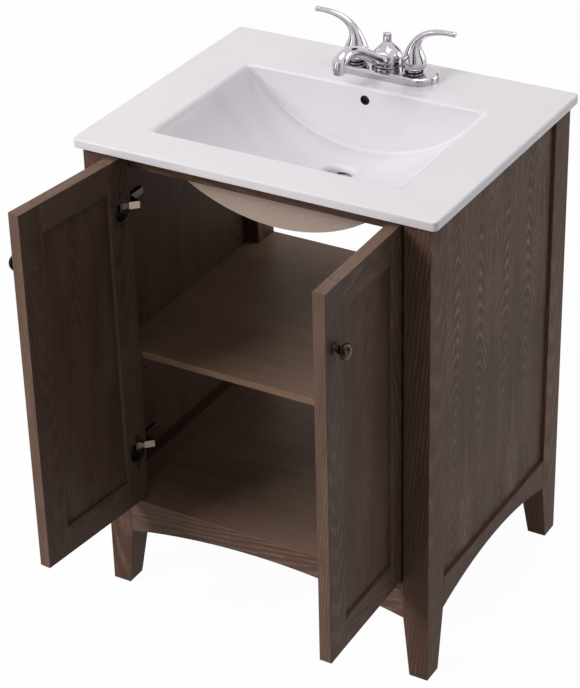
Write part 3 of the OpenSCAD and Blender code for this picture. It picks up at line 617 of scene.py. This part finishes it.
knob_profile = [
    (0, 8.4), (0.2, 9.4), (1.8, 9.5), (3.0, 8.4), (5.0, 6.3), (8.0, 5.5), (11.0, 7.2), (13.0, 10.8),
    (13.8, 12.9), (14.1, 13.7), (14.5, 13.9), (15.0, 13.7), (15.2, 12.9), (15.5, 12.4), (16.0, 12.4),
    (16.3, 12.9),
]
dome_start, dome_rise, dome_radius, dome_step = 16.3, 8.2, 13.0, 11
for i in range(1, 9):
    turn = math.radians(dome_step * i)
    knob_profile.append((dome_start + dome_rise * math.sin(turn), dome_radius * math.cos(turn)))
for side, open_turn in leaf_turns.items():
    node = "knob_" + side
    outward = open_turn @ Vector(front)
    foot = middle_of(node)
    nearest = min(corner.co.dot(outward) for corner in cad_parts[node].data.vertices)
    foot += outward * (nearest - foot.dot(outward))
    stations = [(foot + outward * z * mm, r * mm, 1) for z, r in knob_profile]
    knob = rounded(add_piece(node + "_bronze", swept(stations, up, 24), bronze))
    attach(knob, "door_" + side)
    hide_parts(node)

# The hinges, screws and shelf pins: pressed and turned steel, nickel-plated. A sprung arm runs from a
# plate on the post to a cup let into the stile. The arms' bent faces, the cups' flanges and the knob
# screws get a lighter nickel as a painted highlight, the lower arms' faces a dimmer one; the rest gets a
# darker steel as painted shade.
arm_straight = 10.7 * mm


def plated(name, tone, grain, detail, least, most):
    made, tree, shade = finish(name)
    haze = cloud(tree, own_place(tree), scale=grain, detail=detail)
    tree.links.new(between(tree, haze.outputs["Fac"], least, most), shade.inputs["Roughness"])
    shade.inputs["Base Color"].default_value = tone
    shade.inputs["Metallic"].default_value = 1.0
    return made


def metal_part(nodes, body, metal, bright=None, lit=None, cut=None):
    shape = copy_of(*nodes)
    ease(shape, folds(shape, 40, 1.5 * mm), 0.3 * mm, 1)
    if cut:
        whole = shape.verts[:] + shape.edges[:] + shape.faces[:]
        bmesh.ops.bisect_plane(shape, geom=whole, plane_co=(0, cut, 0), plane_no=inward)
    for side in shape.faces:
        side.material_index = int(lit is not None and lit(side))
    piece = add_piece(nodes[0] + "_metal", shape, metal)
    piece.data.materials.append(bright or metal)
    even_shading(piece)
    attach(piece, body)
    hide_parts(*nodes)


# Faces that catch the light: on these the nickel is painted lighter, as a painted highlight.
def on_lit_bent_face(face, bend):
    slanted = face.normal.y < -0.6 and abs(face.normal.x) > 0.6
    return slanted and face.calc_center_median().y > bend


def on_lit_cup_flange(face):
    return face.normal.y < -0.75


# Lit and shaded copies of one nickel plate. The lighter is a painted highlight and the dimmer is a less-lit
# highlight for the lower arms. The darker is painted shade where the hinges sit out of the light.
lit_nickel = plated("lit_nickel_plate", colour(176, 162, 146), grain=300, detail=4, least=0.2, most=0.38)
shaded_steel = plated("shaded_steel", colour(92, 85, 78), grain=240, detail=5, least=0.25, most=0.5)
dim_lit_nickel = plated("dim_lit_nickel", colour(128, 112, 104), grain=260, detail=4, least=0.3, most=0.45)
arm_highlight = {"lower": dim_lit_nickel, "upper": lit_nickel}
for side in ("left", "right"):
    door = "door_" + side
    for level, shine in arm_highlight.items():
        node = f"hinge_arm_{side}_{level}"
        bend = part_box(node)[0].y + arm_straight
        metal_part(
            (node,), "cabinet", shaded_steel, shine, lambda face: on_lit_bent_face(face, bend), bend)
        metal_part((f"hinge_plate_{side}_{level}",), "cabinet", shaded_steel)
        metal_part((f"hinge_cup_{side}_{level}",), door, shaded_steel, lit_nickel, on_lit_cup_flange)
    metal_part((f"hinge_pins_{side}",), door, shaded_steel)
    metal_part((f"cup_screws_{side}",), door, shaded_steel)
    metal_part((f"knob_screw_{side}",), door, lit_nickel)
for node in ("plate_screws", "arm_screws", "shelf_pins"):
    metal_part((node,), "cabinet", shaded_steel)

# The tap: cast brass under bright chrome. A rounded base plate carries two horn-shaped lever handles,
# a domed hub with the lift rod's knob, and an arched spout with its aerator. All are polished, then plated.
# Profiles and lines give heights over the slab, reaches and radii in millimetres.
plate_half, plate_round, plate_thick, plate_edge = 91 * mm, 32 * mm, 12 * mm, 5 * mm
plate_low, plate_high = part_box("tap_base")
deck = plate_low.z
plate_y = (plate_low.y + plate_high.y) / 2
hub_y = (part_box("lift_rod")[0].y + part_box("lift_rod")[1].y) / 2

chrome, tree, shade = finish("bright_chrome")
place = own_place(tree)
wave = cloud(tree, place, scale=60, detail=1)
relief(tree, shade, wave.outputs["Fac"], strength=0.05, depth=0.5 * mm)
shade.inputs["Base Color"].default_value = colour(196, 190, 197)
shade.inputs["Metallic"].default_value = 1.0
tarnish = cloud(tree, place, scale=140, detail=3)
polish = between(tree, tarnish.outputs["Fac"], 0.05, 0.1, from_low=0.35, from_high=0.65)
tree.links.new(polish, shade.inputs["Roughness"])

metal_part(("aerator",), "cabinet", chrome)

shape = bmesh.new()
bmesh.ops.create_circle(shape, cap_ends=True, segments=48, radius=plate_round)
for corner in shape.verts:
    off_middle = abs(corner.co.x) > 1e-6
    end_shift = math.copysign(plate_half - plate_round, corner.co.x) if off_middle else 0
    corner.co += Vector((end_shift, plate_y, deck))
bmesh.ops.recalc_face_normals(shape, faces=shape.faces[:])
grown = bmesh.ops.extrude_face_region(shape, geom=shape.faces[:])["geom"]
lid = [part for part in grown if isinstance(part, bmesh.types.BMFace)][0]
bmesh.ops.translate(shape, verts=lid.verts[:], vec=(0, 0, plate_thick))
bmesh.ops.recalc_face_normals(shape, faces=shape.faces[:])
ease(shape, lid.edges[:], plate_edge, 6)
plate = add_piece("tap_plate", shape, chrome)
even_shading(plate, 60)
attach(plate, "cabinet")
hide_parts("tap_base")


def flowing(controls, steps):
    for i in range(steps + 1):
        row = [Vector(control) for control in controls]
        while len(row) > 1:
            row = [a.lerp(b, i / steps) for a, b in zip(row, row[1:])]
        yield row[0]


def turned(name, x, y, profile, material, sides=24, levels=1):
    stations = [((x, y, deck + z * mm), r * mm, 1) for z, r in profile]
    return rounded(add_piece(name, swept(stations, along, sides), material), levels)


hub_profile = [
    (12.1, 21), (12.2, 24.2), (13, 25), (16, 25.3), (20, 25.5), (24, 25.5), (28, 24.9), (31, 23.8),
    (34, 22), (37, 19.4), (40, 16.2), (43, 12.9), (46, 10), (48, 8.2), (49.4, 7), (50.15, 6.5), (50.2, 4),
]
hub = turned("tap_hub", 0, hub_y, hub_profile, chrome, sides=20, levels=2)
spout_controls = [
    (-4, 22, 14, 0.85), (25, 25, 15, 0.85), (60, 52, 9, 0.88), (95, 84, 8.5, 0.95), (140, 92, 12, 1),
    (152, 72, 11, 1), (150, 61.6, 9.7, 1),
]
spout_path = list(flowing(spout_controls, 40)) + [(150, 61.45, 9.4, 1), (150, 61.4, 7, 1)]
stations = [((0, plate_y - forward * mm, deck + z * mm), r * mm, flat) for forward, z, r, flat in spout_path]
spout = rounded(add_piece("tap_spout", swept(stations, along), chrome))
for piece in (hub, spout):
    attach(piece, "cabinet")
    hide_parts("spout")

skirt, shoulder, horn_reach, horn_rise, horn_bow = 16.4, 40.4, 63, 45.5, 0.83
horn_top = shoulder + horn_rise
tip_radius, taper, taper_run = 4.4, 4.2, 120
belly, belly_run, belly_spread = 12.9, 11, 26
pinch, pinch_run = 0.2, 3
thinning, thinning_run = 0.14, 90
horn_line = [(0, skirt, 13), (0, skirt + 0.05, 15.5)]
for i in range(1, 9):
    horn_line.append((0, skirt + 3 * i, None))
for i in range(1, 31):
    bend = math.radians(3 * i)
    reach = horn_reach * (1 - math.cos(bend) ** horn_bow)
    horn_line.append((reach, shoulder + horn_rise * math.sin(bend) ** horn_bow, None))
horn_line += [(67, horn_top, 5.2), (70, horn_top, 5.5), (72, horn_top, 4.4), (72.4, horn_top, 2)]
horn, run = [], 0
for i, (reach, z, radius) in enumerate(horn_line):
    run += math.dist((reach, z), horn_line[i - 1][:2]) if i else 0
    if radius is None:
        radius = tip_radius + taper * (1 - run / taper_run)
        radius += belly * math.exp(-((run - belly_run) / belly_spread) ** 2)
        radius *= 1 - pinch * math.exp(-run / pinch_run)
    horn.append((reach, z, radius, 1 - thinning * min(run / thinning_run, 1)))
collar_profile = (11.8, 11.6), (11.9, 12.4), (12.4, 12.5), (15.8, 12.5), (16.2, 12.4), (16.3, 11.6)
handle_axes = {side: middle_of("valve_stem_" + side).x for side in ("hot", "cold")}
for side, axis in handle_axes.items():
    outward = math.copysign(1, axis)
    stations = [
        ((axis + outward * reach * mm, plate_y, deck + z * mm), radius * mm, flat)
        for reach, z, radius, flat in horn
    ]
    handle = rounded(add_piece("lever_" + side, swept(stations, inward), chrome))
    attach(handle, side)
    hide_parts("handle_" + side)
    collar = turned("collar_" + side, axis, plate_y, collar_profile, chrome)
    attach(collar, "cabinet")
    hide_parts("tap_base")

lift_profile = [
    (-63, 1.6), (-62.9, 2.4), (-62, 2.45), (40, 2.45), (50, 2.45), (50.4, 4.8), (51, 5.5), (52.2, 5.4),
    (54, 4.4), (57, 3.7), (60, 4.0), (62, 5.2), (63.4, 7.2), (64.6, 7.8),
]
# A plain sleeve hangs from the lift knob's crown down round the rod.
lift_sleeve = [(-0.533, 7.5), (0.017, 5.4), (0.067, 2.5)]
lift = turned("lift_knob", 0, hub_y, lift_profile + lift_sleeve, chrome, sides=16, levels=2)
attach(lift, "rod")
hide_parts("lift_rod")

# The black ring under each handle: a thin ring that lies on the plate round the collar. It is painted
# shade, a dark ring standing in for the shadow gap between collar and plate.
shade_ring_profile = (11.9, 12), (12, 14.8), (12.2, 15.2), (12.7, 15.2), (12.9, 14.8), (13, 12)
shade_rubber, tree, shade = finish("black_shade_ring")
grain = cloud(tree, own_place(tree), scale=900, detail=2)
tree.links.new(between(tree, grain.outputs["Fac"], 0.5, 0.7), shade.inputs["Roughness"])
shade.inputs["Base Color"].default_value = colour(16, 14, 15)
for side, axis in handle_axes.items():
    shade_ring = turned("shade_ring_" + side, axis, plate_y, shade_ring_profile, shade_rubber)
    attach(shade_ring, "cabinet")

# Under the slab: brass inlet tubes with their nuts, and the brass valve stems that the handles turn.
# All are turned from bar, and keep fine marks of the tool.
brass, tree, shade = finish("turned_brass")
tool_marks = step(
    tree, "ShaderNodeTexWave", {"Vector": own_place(tree), "Scale": 260, "Distortion": 0.5},
    bands_direction="Z",
)
relief(tree, shade, tool_marks.outputs["Fac"], strength=0.5, depth=0.6 * mm)
shade.inputs["Base Color"].default_value = colour(196, 160, 96)
shade.inputs["Metallic"].default_value = 1.0
shade.inputs["Roughness"].default_value = 0.3
for node in ("tap_shanks", "shank_nuts", "valve_stem_hot", "valve_stem_cold"):
    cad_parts[node].data.materials.clear()
    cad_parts[node].data.materials.append(brass)
